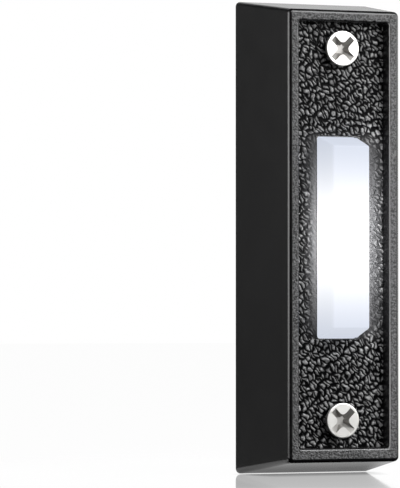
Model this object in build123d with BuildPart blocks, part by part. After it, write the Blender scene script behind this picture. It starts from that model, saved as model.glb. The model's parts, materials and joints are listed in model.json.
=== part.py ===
from build123d import *
import os
from math import cos, radians, sin, tan

# A wired doorbell push button with a lit lens, fixed to a door frame by two screws.
# The wall is the plane Y = 0, the front faces -Y and Z points up. Sizes are in millimetres,
# angles in degrees, and a height is a distance from the wall towards the front.

# Housing: a drafted shell, open at the back
base_width = 33.6
base_height = 108.0
housing_depth = 23.5
side_draft = 8.1
wall = 2.0
corner_radius = 1.2
front_edge_radius = 1.0
core_corner_radius = 0.8

# Raised rim round the recessed panel
rim_side = 2.4
rim_top = 2.55
rim_bottom = 3.05
recess_depth = 3.6
recess_draft = 2.0
recess_corner_radius = 0.5
rim_edge_radius = 0.6
panel_thickness = 2.0

# Screw tubes, ribs and the guide wall behind the panel
tube_diameter = 8.4
rib_thickness = 1.2
rib_depth = 9.0
guide_wall = 1.1
guide_depth = 4.0
guide_clearance = 0.3

# Wall screws, 4.2 mm self-tapping with a countersunk head
screw_top_inset = 11.85
screw_bottom_inset = 12.55
screw_length = 38.0
screw_diameter = 4.2
screw_core_diameter = 3.2
screw_plain_length = 3.7
screw_tip_length = 5.0
screw_head_diameter = 7.9
screw_head_edge = 0.8
screw_head_angle = 82.0
screw_hole_clearance = 0.15
screw_hole_chamfer = 0.1
screw_seat_gap = 0.02
cross_length = 6.6
cross_width = 1.45
cross_depth = 1.3
cross_taper = 18.0

# Push button: a hollow lens that stands proud of the rim
button_width = 9.9
button_height = 45.0
button_drop = 0.3
button_face_width = 9.05
button_face_height = 40.9
button_rise = 7.1
button_edge_radius = 0.45
button_wall = 1.4
button_travel = 1.8
window_clearance = 0.25
stem_relief = 0.1
flange_side = 1.6
flange_thickness = 1.5
flange_rest_gap = 0.1
flange_corner_radius = 1.5

# Guide posts, which carry the board and stand inside the return springs
post_offset = 3.5
post_diameter = 3.3
post_clearance = 0.3
spring_clearance = 0.35
spring_wire = 0.45
spring_turns = 5
spring_wire_sides = 6
spring_length = 6.4
flange_end_margin = 0.8

# Contact board
board_thickness = 1.6
board_side_gap = 1.2
board_end_margin = 3.4
board_corner_radius = 1.0
lead_hole_clearance = 0.1

# Board screws
board_screw_diameter = 2.0
board_screw_length = 7.0
board_screw_head_diameter = 3.8
board_screw_head_height = 1.4
board_screw_head_chamfer = 0.5
screw_fit_clearance = 0.05
pilot_end_gap = 0.6

# Leaf contact, a springy strip bent up from the board, and its contacts
leaf_width = 5.0
leaf_thickness = 0.3
leaf_angle = 22.0
leaf_bend_radius = 0.8
leaf_root_z = 20.4
leaf_bend_z = 15.5
leaf_tip_z = 4.4
leaf_rivet_z = 18.2
contact_z = 6.1
contact_gap = 0.1
contact_head_diameter = 2.2
contact_head_height = 0.5
contact_chamfer = 0.25
rivet_shank_diameter = 1.2
rivet_upset_diameter = 1.8
rivet_upset_height = 0.3
rivet_clearance = 0.05
nib_z = 8.9
nib_thickness = 1.2
nib_width = 3.4
nib_gap = 0.15

# Wire terminals
terminal_inset = 4.3
terminal_plate_width = 6.4
terminal_plate_height = 9.0
terminal_plate_thickness = 0.8
terminal_ear_height = 2.2
terminal_bend_radius = 0.3
terminal_screw_diameter = 3.0
terminal_screw_head_diameter = 5.6
terminal_screw_head_height = 2.0
terminal_screw_head_chamfer = 0.7
terminal_screw_end = 0.5
terminal_nut_across_flats = 5.5
terminal_nut_height = 2.4
terminal_hole_clearance = 0.15

# Lamp and the two parts in series with it
led_diameter = 5.0
led_flange_diameter = 5.8
led_flange_height = 1.0
led_height = 8.6
led_lead_size = 0.5
led_lead_pitch = 2.54
lead_tail = 1.4
resistor_diameter = 2.4
resistor_waist_diameter = 2.0
resistor_length = 6.3
resistor_cap_length = 1.6
resistor_cap_round = 0.25
resistor_z = -9.0
diode_diameter = 2.7
diode_length = 5.2
diode_chamfer = 0.15
diode_z = -15.5
axial_lead_diameter = 0.6
axial_lead_pitch = 11.0
axial_lead_bend = 0.9
axial_lift = 0.2

# Heights of the layers, from the front to the wall
front_width = base_width - 2 * housing_depth * tan(radians(side_draft))
front_height = base_height - 2 * housing_depth * tan(radians(side_draft))
panel_front = housing_depth - recess_depth
panel_back = panel_front - panel_thickness
button_front = panel_front + button_rise
flange_front = panel_back - flange_rest_gap
flange_back = flange_front - flange_thickness
board_front = flange_back - spring_length
board_back = board_front - board_thickness
lead_end = board_back - lead_tail

# Places across the front
ends = {"top": 1, "bottom": -1}
sides = {"left": -1, "right": 1}
screw_insets = {"top": screw_top_inset, "bottom": screw_bottom_inset}
screw_rows = {end: side * (base_height / 2 - screw_insets[end]) for end, side in ends.items()}
lens_z = -button_drop
post_z = button_height / 2 + post_offset
spring_radius = post_diameter / 2 + spring_clearance + spring_wire / 2
flange_width = button_width + 2 * flange_side
flange_height = 2 * (post_z + spring_radius + spring_wire / 2 + flange_end_margin)
core_half_width_at_board = base_width / 2 - wall - board_front * tan(radians(side_draft))
board_width = 2 * (core_half_width_at_board - board_side_gap)
board_height = 2 * (post_z + board_end_margin)
screw_places = [(0, z) for z in screw_rows.values()]
post_places = [(0, side * post_z) for side in ends.values()]
terminal_x = board_width / 2 - terminal_inset
terminal_places = [(side * terminal_x, 0) for side in sides.values()]
led_lead_places = [(side * led_lead_pitch / 2, 0) for side in sides.values()]
axial_lead_places = [
    (side * axial_lead_pitch / 2, z) for side in sides.values() for z in (resistor_z, diode_z)
]

# Radii of holes, each from the piece that goes through it
screw_hole_radius = screw_diameter / 2 + screw_hole_clearance
pilot_radius = board_screw_diameter / 2 + screw_fit_clearance
terminal_hole_radius = terminal_screw_diameter / 2 + terminal_hole_clearance
rivet_hole_radius = rivet_shank_diameter / 2 + rivet_clearance
axial_hole_radius = axial_lead_diameter / 2 + lead_hole_clearance


def leaf_lift(z):
    """Distance from the board to the back of the leaf at this place."""
    return (leaf_bend_z - z) * tan(radians(leaf_angle))


# The nib stands just off the leaf, and the fixed contact just off where the pressed leaf ends
leaf_slant = leaf_thickness / cos(radians(leaf_angle))
nib_lift = leaf_lift(nib_z - nib_thickness / 2) + leaf_slant + nib_gap
pressed_share = (nib_lift - button_travel - nib_gap) / (nib_lift - nib_gap)
contact_head_drop = contact_head_height / cos(radians(leaf_angle))
fixed_contact_height = (leaf_lift(contact_z) - contact_head_drop) * pressed_share - contact_gap

os.makedirs("parts", exist_ok=True)


def facing(height, x=0.0, z=0.0):
    """A plane parallel to the wall that faces the front."""
    return Plane(origin=(x, -height, z), x_dir=(1, 0, 0), z_dir=(0, -1, 0))


def turning(height, x=0.0, z=0.0, towards_wall=True):
    """A plane for a turned profile: local X is the radius, local Y runs along the axis."""
    return Plane(origin=(x, -height, z), x_dir=(1, 0, 0), z_dir=(0, 0, 1 if towards_wall else -1))


def turned(profile, plane):
    """The solid that a closed outline of (radius, distance) points makes about the plane's Y axis."""
    with BuildPart() as piece:
        with BuildSketch(plane):
            with BuildLine():
                Polyline(*profile, close=True)
            make_face()
        revolve(axis=Axis(plane.origin, plane.y_dir))
    return piece.part


def save(piece, name):
    """Label a finished piece and write it to its own file."""
    piece.label = name
    export_step(piece, f"parts/{name}.step")


# The space behind the panel, with the tubes, ribs, posts and guide wall left standing in it
with BuildPart() as core:
    with BuildSketch(Plane.XZ):
        Rectangle(base_width - 2 * wall, base_height - 2 * wall)
    extrude(amount=panel_back, taper=side_draft)
    fillet(core.edges().filter_by(Plane.XZ, reverse=True), core_corner_radius)
    with BuildSketch(Plane.XZ):
        with Locations(*screw_places):
            Circle(tube_diameter / 2)
    extrude(amount=panel_back, mode=Mode.SUBTRACT)
    with BuildSketch(facing(panel_back)):
        with Locations(*screw_places):
            Rectangle(base_width, rib_thickness)
        for end, side in ends.items():
            with Locations((0, side * (base_height - screw_insets[end]) / 2)):
                Rectangle(rib_thickness, screw_insets[end])
    extrude(amount=-rib_depth, mode=Mode.SUBTRACT)
    with BuildSketch(facing(panel_back)):
        guide_width = flange_width + 2 * guide_clearance
        guide_height = flange_height + 2 * guide_clearance
        guide_radius = flange_corner_radius + guide_clearance
        RectangleRounded(
            guide_width + 2 * guide_wall, guide_height + 2 * guide_wall, guide_radius + guide_wall
        )
        RectangleRounded(guide_width, guide_height, guide_radius, mode=Mode.SUBTRACT)
    extrude(amount=-guide_depth, mode=Mode.SUBTRACT)
    with BuildSketch(facing(board_front)):
        with Locations(*post_places):
            Circle(post_diameter / 2)
    extrude(amount=panel_back - board_front, mode=Mode.SUBTRACT)

# The recess in front of the panel
with BuildPart() as recess:
    recess_inset = recess_depth * tan(radians(recess_draft))
    with BuildSketch(facing(panel_front, z=(rim_bottom - rim_top) / 2)):
        Rectangle(
            front_width - 2 * rim_side - 2 * recess_inset,
            front_height - rim_top - rim_bottom - 2 * recess_inset,
        )
    extrude(amount=recess_depth, taper=-recess_draft)
    fillet(recess.edges().filter_by(Plane.XZ, reverse=True), recess_corner_radius)

with BuildPart() as housing:
    with BuildSketch(Plane.XZ):
        Rectangle(base_width, base_height)
    extrude(amount=housing_depth, taper=side_draft)
    fillet(housing.edges().filter_by(Plane.XZ, reverse=True), corner_radius)
    fillet(housing.faces().sort_by(Axis.Y)[0].edges(), front_edge_radius)
    add(core.part, mode=Mode.SUBTRACT)
    add(recess.part, mode=Mode.SUBTRACT)
    fillet(housing.faces().sort_by(Axis.Y)[0].inner_wires()[0].edges(), rim_edge_radius)
    with BuildSketch(facing(panel_front, z=lens_z)):
        window_width = button_width + 2 * window_clearance
        window_height = button_height + 2 * window_clearance
        RectangleRounded(window_width, window_height, button_edge_radius + window_clearance)
    extrude(amount=-panel_thickness, mode=Mode.SUBTRACT)
    with Locations(*[facing(panel_front, *place) for place in screw_places]):
        CounterSinkHole(
            screw_hole_radius,
            screw_hole_radius + screw_hole_chamfer,
            depth=panel_front,
            counter_sink_angle=screw_head_angle,
        )
    with BuildSketch(facing(board_front)):
        with Locations(*post_places):
            Circle(pilot_radius)
    extrude(amount=board_screw_length - board_thickness + pilot_end_gap, mode=Mode.SUBTRACT)
save(housing.part, "housing")

# The hollow inside the lens, with a cross rib left standing to carry the nib
with BuildPart() as lens_core:
    core_width = button_width - 2 * button_wall
    core_height = button_height - 2 * button_wall
    with BuildSketch(facing(flange_back, z=lens_z)):
        Rectangle(core_width, core_height)
    extrude(amount=panel_front - flange_back)
    with BuildSketch(facing(panel_front, z=lens_z)):
        Rectangle(core_width, core_height)
    with BuildSketch(facing(button_front - button_wall, z=lens_z)):
        Rectangle(button_face_width - 2 * button_wall, button_face_height - 2 * button_wall)
    loft()
    with BuildSketch(facing(flange_back)):
        with Locations((0, nib_z)):
            Rectangle(button_width, nib_thickness)
    extrude(amount=button_front - flange_back, mode=Mode.SUBTRACT)

with BuildPart() as push_button:
    with BuildSketch(facing(panel_front, z=lens_z)):
        Rectangle(button_width, button_height)
    with BuildSketch(facing(button_front, z=lens_z)):
        Rectangle(button_face_width, button_face_height)
    loft()
    lens_foot = push_button.faces().sort_by(Axis.Y)[-1].edges()
    fillet(push_button.edges() - lens_foot, button_edge_radius)
    with BuildSketch(facing(flange_front, z=lens_z)):
        RectangleRounded(
            button_width - 2 * stem_relief, button_height - 2 * stem_relief, button_edge_radius
        )
    extrude(amount=panel_front - flange_front)
    with BuildSketch(facing(flange_back)):
        RectangleRounded(flange_width, flange_height, flange_corner_radius)
        with Locations(*post_places):
            Circle(post_diameter / 2 + post_clearance, mode=Mode.SUBTRACT)
    extrude(amount=flange_thickness)
    add(lens_core.part, mode=Mode.SUBTRACT)
    with BuildSketch(facing(board_front + nib_lift)):
        with Locations((0, nib_z)):
            Rectangle(nib_width, nib_thickness)
    extrude(amount=flange_back - board_front - nib_lift)
save(push_button.part, "push_button")

with BuildPart() as contact_board:
    with BuildSketch(facing(board_back)):
        RectangleRounded(board_width, board_height, board_corner_radius)
        with Locations(*post_places):
            Circle(pilot_radius, mode=Mode.SUBTRACT)
        with Locations(*terminal_places):
            Circle(terminal_hole_radius, mode=Mode.SUBTRACT)
        with Locations((0, leaf_rivet_z), (0, contact_z)):
            Circle(rivet_hole_radius, mode=Mode.SUBTRACT)
        with Locations(*axial_lead_places):
            Circle(axial_hole_radius, mode=Mode.SUBTRACT)
        with Locations(*led_lead_places):
            Circle(led_lead_size / 2 * 2**0.5 + lead_hole_clearance, mode=Mode.SUBTRACT)
    extrude(amount=board_thickness)
save(contact_board.part, "contact_board")

# The plane of the raised strip at the moving contact, on the back of the strip
leaf_normal = (0, -cos(radians(leaf_angle)), sin(radians(leaf_angle)))
contact_plane = Plane(
    origin=(0, -board_front - leaf_lift(contact_z), contact_z), x_dir=(1, 0, 0), z_dir=leaf_normal
)

with BuildPart() as leaf_contact:
    with BuildSketch(Plane.YZ):
        with BuildLine():
            FilletPolyline(
                (-board_front, leaf_root_z),
                (-board_front, leaf_bend_z),
                (-board_front - leaf_lift(leaf_tip_z), leaf_tip_z),
                radius=leaf_bend_radius,
            )
            offset(amount=leaf_thickness, side=Side.RIGHT)
        make_face()
    extrude(amount=leaf_width / 2, both=True)
    with BuildSketch(facing(board_front, z=leaf_rivet_z)):
        Circle(rivet_hole_radius)
    extrude(amount=leaf_thickness, mode=Mode.SUBTRACT)
    with BuildSketch(contact_plane):
        Circle(rivet_hole_radius)
    extrude(amount=leaf_thickness, mode=Mode.SUBTRACT)
save(leaf_contact.part, "leaf_contact")


def rivet(plane, grip, head_height=contact_head_height):
    """A rivet on its axis plane: a head before the plane, a shank through the grip, an upset end."""
    head_radius = contact_head_diameter / 2
    shank_end = grip + rivet_upset_height
    return turned(
        [
            (0, -head_height),
            (head_radius - contact_chamfer, -head_height),
            (head_radius, -head_height + contact_chamfer),
            (head_radius, 0),
            (rivet_shank_diameter / 2, 0),
            (rivet_shank_diameter / 2, grip),
            (rivet_upset_diameter / 2, grip),
            (rivet_upset_diameter / 2, shank_end),
            (0, shank_end),
        ],
        plane,
    )


leaf_axis = Plane(origin=contact_plane.origin, x_dir=(1, 0, 0), z_dir=-contact_plane.y_dir)
save(rivet(leaf_axis, leaf_thickness), "moving_contact")
leaf_rivet_plane = turning(board_front + leaf_thickness, z=leaf_rivet_z)
save(rivet(leaf_rivet_plane, board_thickness + leaf_thickness), "leaf_rivet")
fixed_contact_plane = turning(board_front, z=contact_z)
save(rivet(fixed_contact_plane, board_thickness, fixed_contact_height), "fixed_contact")


# Wall screws: the head's cone rests on the chamfered edge of the housing's hole
head_radius = screw_head_diameter / 2
cone_slope = tan(radians(screw_head_angle / 2))
seat_radius = screw_hole_radius + screw_hole_chamfer
screw_head_front = panel_front + screw_head_edge + (head_radius - seat_radius) / cone_slope
screw_head_front += screw_seat_gap
cone_end = screw_head_edge + (head_radius - screw_core_diameter / 2) / cone_slope
thread_start = cone_end + screw_plain_length
for end in ends:
    with BuildPart() as mounting_screw:
        add(
            turned(
                [
                    (0, 0),
                    (head_radius, 0),
                    (head_radius, screw_head_edge),
                    (screw_core_diameter / 2, cone_end),
                    (screw_core_diameter / 2, thread_start),
                    (screw_diameter / 2, thread_start + (screw_diameter - screw_core_diameter) / 2),
                    (screw_diameter / 2, screw_length - screw_tip_length),
                    (0, screw_length),
                ],
                turning(screw_head_front, z=screw_rows[end]),
            )
        )
        with BuildSketch(facing(screw_head_front, z=screw_rows[end])):
            for turn in (45, -45):
                Rectangle(cross_length, cross_width, turn)
        extrude(amount=-cross_depth, taper=cross_taper, mode=Mode.SUBTRACT)
    save(mounting_screw.part, f"mounting_screw_{end}")


def pan_screw(seat_height, x, z, head, head_height, head_chamfer, shank, length):
    """A pan-head screw with its head on the wall side of its seat and its shank towards the front."""
    return turned(
        [
            (0, -head_height),
            (head / 2 - head_chamfer, -head_height),
            (head / 2, head_chamfer - head_height),
            (head / 2, 0),
            (shank / 2, 0),
            (shank / 2, length - shank / 4),
            (shank / 4, length),
            (0, length),
        ],
        turning(seat_height, x, z, towards_wall=False),
    )


# Board screws: the head sits on the back of the board, the shank goes into the post
for end, side in ends.items():
    board_screw = pan_screw(
        board_back,
        0,
        side * post_z,
        board_screw_head_diameter,
        board_screw_head_height,
        board_screw_head_chamfer,
        board_screw_diameter,
        board_screw_length,
    )
    save(board_screw, f"board_screw_{end}")

# Return springs: open coils round the posts, between the flange and the board, of few-sided wire
for end, side in ends.items():
    with BuildPart() as return_spring:
        with BuildLine():
            coil = Helix(
                pitch=(spring_length - spring_wire) / spring_turns,
                height=spring_length - spring_wire,
                radius=spring_radius,
                center=(0, -board_front - spring_wire / 2, side * post_z),
                direction=(0, -1, 0),
            )
        with BuildSketch(Plane(origin=coil @ 0, z_dir=coil % 0)):
            RegularPolygon(spring_wire / 2, spring_wire_sides)
        sweep(is_frenet=True)
    save(return_spring.part, f"return_spring_{end}")

# Wire terminals: a plate with two ears, a screw through plate and board, and a nut in front
terminal_plate_back = board_back - terminal_plate_thickness
terminal_screw_length = (
    terminal_plate_thickness + board_thickness + terminal_nut_height + terminal_screw_end
)
for name, side in sides.items():
    x = side * terminal_x
    with BuildPart() as terminal_plate:
        with BuildSketch(Plane.YZ.offset(x)):
            with BuildLine():
                ear = -board_back + terminal_ear_height
                edge = terminal_plate_height / 2
                FilletPolyline(
                    (ear, edge), (-board_back, edge), (-board_back, -edge), (ear, -edge),
                    radius=terminal_bend_radius + terminal_plate_thickness,
                )
                offset(amount=terminal_plate_thickness, side=Side.LEFT)
            make_face()
        extrude(amount=terminal_plate_width / 2, both=True)
        with BuildSketch(facing(terminal_plate_back, x)):
            Circle(terminal_hole_radius)
        extrude(amount=terminal_plate_thickness, mode=Mode.SUBTRACT)
    save(terminal_plate.part, f"terminal_plate_{name}")

    terminal_screw = pan_screw(
        terminal_plate_back,
        x,
        0,
        terminal_screw_head_diameter,
        terminal_screw_head_height,
        terminal_screw_head_chamfer,
        terminal_screw_diameter,
        terminal_screw_length,
    )
    save(terminal_screw, f"terminal_screw_{name}")

    with BuildPart() as terminal_nut:
        with BuildSketch(facing(board_front, x)):
            RegularPolygon(terminal_nut_across_flats / 2, 6, major_radius=False)
            Circle(terminal_screw_diameter / 2 + screw_fit_clearance, mode=Mode.SUBTRACT)
        extrude(amount=terminal_nut_height)
    save(terminal_nut.part, f"terminal_nut_{name}")

# Lamp: flange, barrel and dome
led_radius = led_diameter / 2
with BuildPart() as led:
    with BuildSketch(turning(board_front, towards_wall=False)) as led_profile:
        with BuildLine():
            Polyline(
                (0, led_height),
                (0, 0),
                (led_flange_diameter / 2, 0),
                (led_flange_diameter / 2, led_flange_height),
                (led_radius, led_flange_height),
                (led_radius, led_height - led_radius),
            )
            RadiusArc((led_radius, led_height - led_radius), (0, led_height), -led_radius)
        make_face()
    revolve(axis=Axis((0, -board_front, 0), (0, -1, 0)))
save(led.part, "led")

with BuildPart() as led_leads:
    with BuildSketch(facing(lead_end)):
        with Locations(*led_lead_places):
            Rectangle(led_lead_size, led_lead_size)
    extrude(amount=board_front - lead_end)
save(led_leads.part, "led_leads")


def axial_plane(diameter, z):
    """A plane on the axis of a part that lies across the board: local Y runs along X."""
    height = board_front + axial_lift + diameter / 2
    return Plane(origin=(0, -height, z), x_dir=(0, -1, 0), z_dir=(0, 0, 1))


def axial_leads(diameter, length, z):
    """Two wires that leave the ends of an axial part and go down, with a knee, through the board."""
    height = board_front + axial_lift + diameter / 2
    with BuildPart() as leads:
        for side in sides.values():
            with BuildLine() as path:
                Polyline(
                    (side * length / 2, -height, z),
                    (side * (axial_lead_pitch / 2 - axial_lead_bend), -height, z),
                    (side * axial_lead_pitch / 2, axial_lead_bend - height, z),
                    (side * axial_lead_pitch / 2, -lead_end, z),
                )
            with BuildSketch(Plane(origin=path.line @ 0, z_dir=path.line % 0)):
                Circle(axial_lead_diameter / 2)
            sweep(transition=Transition.RIGHT)
    return leads.part


# Resistor with a waist between two end caps
cap_radius = resistor_diameter / 2
waist_end = resistor_length / 2 - resistor_cap_length
half_resistor = [
    (resistor_waist_diameter / 2, waist_end),
    (cap_radius, waist_end + resistor_cap_round),
    (cap_radius, resistor_length / 2 - resistor_cap_round),
    (cap_radius - resistor_cap_round, resistor_length / 2),
    (0, resistor_length / 2),
]
other_half = [(radius, -along) for radius, along in reversed(half_resistor)]
resistor = turned(half_resistor + other_half, axial_plane(resistor_diameter, resistor_z))
save(resistor, "resistor")
save(axial_leads(resistor_diameter, resistor_length, resistor_z), "resistor_leads")

# Diode, a plain moulded cylinder
with BuildPart() as diode:
    with BuildSketch(Plane.YZ):
        with Locations((-board_front - axial_lift - diode_diameter / 2, diode_z)):
            Circle(diode_diameter / 2)
    extrude(amount=diode_length / 2, both=True)
    chamfer(diode.edges(), diode_chamfer)
save(diode.part, "diode")
save(axial_leads(diode_diameter, diode_length, diode_z), "diode_leads")
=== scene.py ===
# %% [markdown]
# # A lit doorbell push button
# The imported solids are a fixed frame: every piece below is made in that frame, in metres, with the wall
# at Y = 0, the front towards -Y and Z up. Pieces that are already right keep their solid and get a finish.
# Pieces whose real look lies in fine form, such as grain, threads and coils, are made again here.

# %% Load the frame
import json
import math
import bmesh
import bpy
from mathutils import Matrix, Vector


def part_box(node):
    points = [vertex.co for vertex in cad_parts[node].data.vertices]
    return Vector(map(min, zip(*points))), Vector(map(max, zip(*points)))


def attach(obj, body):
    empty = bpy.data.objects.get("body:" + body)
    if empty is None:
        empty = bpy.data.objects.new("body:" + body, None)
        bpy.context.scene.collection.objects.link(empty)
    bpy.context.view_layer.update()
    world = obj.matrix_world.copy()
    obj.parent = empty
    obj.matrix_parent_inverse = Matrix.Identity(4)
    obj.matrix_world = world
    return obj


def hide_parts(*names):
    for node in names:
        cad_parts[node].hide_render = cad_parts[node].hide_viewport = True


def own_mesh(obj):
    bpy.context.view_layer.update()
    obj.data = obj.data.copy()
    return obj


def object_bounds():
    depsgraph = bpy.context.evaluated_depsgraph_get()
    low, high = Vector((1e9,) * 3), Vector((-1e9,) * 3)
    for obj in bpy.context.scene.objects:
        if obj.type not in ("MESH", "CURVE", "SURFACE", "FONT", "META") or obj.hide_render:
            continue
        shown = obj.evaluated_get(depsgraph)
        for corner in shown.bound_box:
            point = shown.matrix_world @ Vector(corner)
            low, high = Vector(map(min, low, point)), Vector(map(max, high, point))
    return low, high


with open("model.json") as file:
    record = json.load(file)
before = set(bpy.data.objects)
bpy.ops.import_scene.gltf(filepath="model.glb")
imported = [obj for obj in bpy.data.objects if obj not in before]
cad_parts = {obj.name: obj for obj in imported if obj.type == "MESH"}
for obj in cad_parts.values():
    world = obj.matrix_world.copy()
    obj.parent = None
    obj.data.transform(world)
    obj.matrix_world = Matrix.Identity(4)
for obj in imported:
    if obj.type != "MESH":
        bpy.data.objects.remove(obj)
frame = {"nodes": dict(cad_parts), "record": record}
cad_low, cad_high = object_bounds()
nodes = frame["nodes"]
MM = 0.001
print("frame:", len(nodes), "pieces, size", [round(v / MM, 2) for v in cad_high - cad_low], "mm")

# %% [markdown]
# ## Helpers
# Colours are written as the hex values that a screen shows, and shaders want linear light, so one function
# turns the one into the other. A second adds a node to a tree, sets it up and links its inputs. The others
# start a material, put an object in the scene and find the middle of a solid.

# %% Colour and node helpers
def linear(code):
    """The linear RGBA of an sRGB hex colour."""
    channels = [int(code[i:i + 2], 16) / 255 for i in (1, 3, 5)]
    return [c / 12.92 if c <= 0.04045 else ((c + 0.055) / 1.055) ** 2.4 for c in channels] + [1.0]


def add(tree, kind, inputs=None, **settings):
    """Add a node. Each input is a value to set or another node's output to link from."""
    node = tree.nodes.new(kind)
    for name, value in settings.items():
        setattr(node, name, value)
    for name, value in (inputs or {}).items():
        if isinstance(value, bpy.types.NodeSocket):
            tree.links.new(value, node.inputs[name])
        else:
            node.inputs[name].default_value = value
    return node


print("the screen's middle grey is", round(linear("#808080")[0], 3), "in linear light")

# %% Material and object helpers
def finish_named(name, **sockets):
    """A new material with its tree and its main shader, whose sockets take the values given."""
    material = bpy.data.materials.new(name)
    material.use_nodes = True
    shader = material.node_tree.nodes["Principled BSDF"]
    for socket, value in sockets.items():
        shader.inputs[socket.replace("_", " ")].default_value = value
    return material, material.node_tree, shader


def new_object(name, data):
    """A new object in the scene."""
    made = bpy.data.objects.new(name, data)
    bpy.context.scene.collection.objects.link(made)
    return made


def middle_of(node):
    """The middle of a solid's box."""
    low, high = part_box(node)
    return (low + high) / 2


print("the lens's middle is at", [round(v / MM, 2) for v in middle_of("push_button")], "mm")

# %% [markdown]
# ## Camera
# The picture was taken with a long lens from a little left of the front and just under the middle of the
# button. The angles and distance come from the corners of the housing, and the aim is turned a little to
# the left, because the button stands right of the picture's middle.

# %% Camera
def around(azimuth, elevation, distance):
    """A point at these angles round the origin. Azimuth 0 is in front and 90 to the right."""
    a, e = math.radians(azimuth), math.radians(elevation)
    return distance * Vector((math.sin(a) * math.cos(e), -math.cos(a) * math.cos(e), math.sin(e)))


CAMERA_AZIMUTH = -23.45
CAMERA_ELEVATION = -1.22
CAMERA_DISTANCE = 792.3 * MM
AIM_TURN = 1.72
AIM_TILT = -0.10
FOCAL_LENGTH = 253.3
CLIP_START = 10 * MM

camera_place = around(CAMERA_AZIMUTH, CAMERA_ELEVATION, CAMERA_DISTANCE)
aim = Matrix.Rotation(math.radians(AIM_TURN), 3, "Z") @ -camera_place.normalized()
sideways = aim.cross(Vector((0, 0, 1))).normalized()
aim = Matrix.Rotation(math.radians(AIM_TILT), 3, sideways) @ aim
camera = new_object("camera", bpy.data.cameras.new("camera"))
camera.location = camera_place
camera.rotation_euler = aim.to_track_quat("-Z", "Y").to_euler()
camera.data.lens = FOCAL_LENGTH
camera.data.clip_start = CLIP_START
bpy.context.scene.camera = camera
bpy.context.scene.view_settings.view_transform = "Standard"
print("camera at", [round(v, 4) for v in camera_place])

# %% [markdown]
# ## Table and backdrop
# The button stands on a white, varnished table before a white backdrop. Lamps alone would leave a grey edge
# where the two meet, so the camera and reflections see the table in a white of its own. Only a narrow band
# round the foot, found by ambient occlusion, is darker. The varnish mirrors the button at a low angle, as
# real varnish does, and the mirror image fades out some centimetres from the foot.

# %% Table
def stage_quad(name, corners, material):
    """A flat four-cornered stage object."""
    mesh = bpy.data.meshes.new(name)
    mesh.from_pydata([Vector(c) for c in corners], [], [(0, 1, 2, 3)])
    mesh.materials.append(material)
    quad = new_object(name, mesh)
    return quad


def level_corners(x_span, y_span, z):
    """Corners of a level quad. It faces up, or down where its x span runs from right to left."""
    (x0, x1), (y0, y1) = x_span, y_span
    return [(x0, y0, z), (x1, y0, z), (x1, y1, z), (x0, y1, z)]


TABLE_REACH = 3.0
TABLE_LEVEL = cad_low.z - 0.1 * MM
TABLE_OWN_WHITE = 0.97
FOOT_SHADE_REACH = 2.5 * MM
FOOT_SHADE_DARKEST = 0.3
table_paint, tree, shader = finish_named(
    "white_table", Base_Color=linear("#f7f7f7"), Roughness=0.9, Specular_IOR_Level=0.0
)
path = add(tree, "ShaderNodeLightPath")
seen = add(tree, "ShaderNodeMath", {
    0: path.outputs["Is Camera Ray"], 1: path.outputs["Is Glossy Ray"],
}, operation="MAXIMUM").outputs[0]
seen = add(tree, "ShaderNodeMath", {0: seen, 1: TABLE_OWN_WHITE}, operation="MULTIPLY").outputs[0]
shaded = add(tree, "ShaderNodeAmbientOcclusion", {"Distance": FOOT_SHADE_REACH}).outputs["AO"]
shaded = add(tree, "ShaderNodeMapRange", {"Value": shaded, "To Min": FOOT_SHADE_DARKEST}).outputs[0]
white = add(tree, "ShaderNodeEmission", {"Color": linear("#ffffff"), "Strength": shaded})
matt = add(tree, "ShaderNodeMixShader", {0: seen, 1: shader.outputs[0], 2: white.outputs[0]})
table_span = -TABLE_REACH, TABLE_REACH
stage_quad("table", level_corners(table_span, table_span, TABLE_LEVEL), table_paint)
print("table at", round(TABLE_LEVEL / MM, 1), "mm")

# %% Varnish on the table
VARNISH_IOR = 1.45
VARNISH_ROUGHNESS = 0.06
# The mirror starts and is full at these Fresnel values, and starts to fade and is gone this far out
MIRROR_SHARE = 0.58
MIRROR_STARTS, MIRROR_FULL = 0.32, 0.75
MIRROR_FADES, MIRROR_GONE = 60 * MM, 120 * MM
mirror = add(tree, "ShaderNodeBsdfGlossy", {"Color": linear("#ffffff"), "Roughness": VARNISH_ROUGHNESS})
gloss = add(tree, "ShaderNodeFresnel", {"IOR": VARNISH_IOR}).outputs[0]
gloss = add(tree, "ShaderNodeMapRange", {
    "Value": gloss, "From Min": MIRROR_STARTS, "From Max": MIRROR_FULL, "To Max": MIRROR_SHARE,
}).outputs[0]
spot = add(tree, "ShaderNodeTexCoord").outputs["Object"]
from_foot = add(tree, "ShaderNodeVectorMath", {0: spot, 1: (0, 0, TABLE_LEVEL)}, operation="DISTANCE")
near = add(tree, "ShaderNodeMapRange", {
    "Value": from_foot.outputs["Value"], "From Min": MIRROR_GONE, "From Max": MIRROR_FADES,
}, interpolation_type="SMOOTHSTEP").outputs[0]
gloss = add(tree, "ShaderNodeMath", {0: near, 1: gloss}, operation="MULTIPLY").outputs[0]
gloss = add(tree, "ShaderNodeMath", {0: path.outputs["Is Camera Ray"], 1: gloss}, operation="MULTIPLY")
varnished = add(tree, "ShaderNodeMixShader", {0: gloss.outputs[0], 1: matt.outputs[0], 2: mirror.outputs[0]})
tree.links.new(varnished.outputs[0], tree.nodes["Material Output"].inputs["Surface"])
print("table finish has", len(tree.nodes), "nodes")

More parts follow.
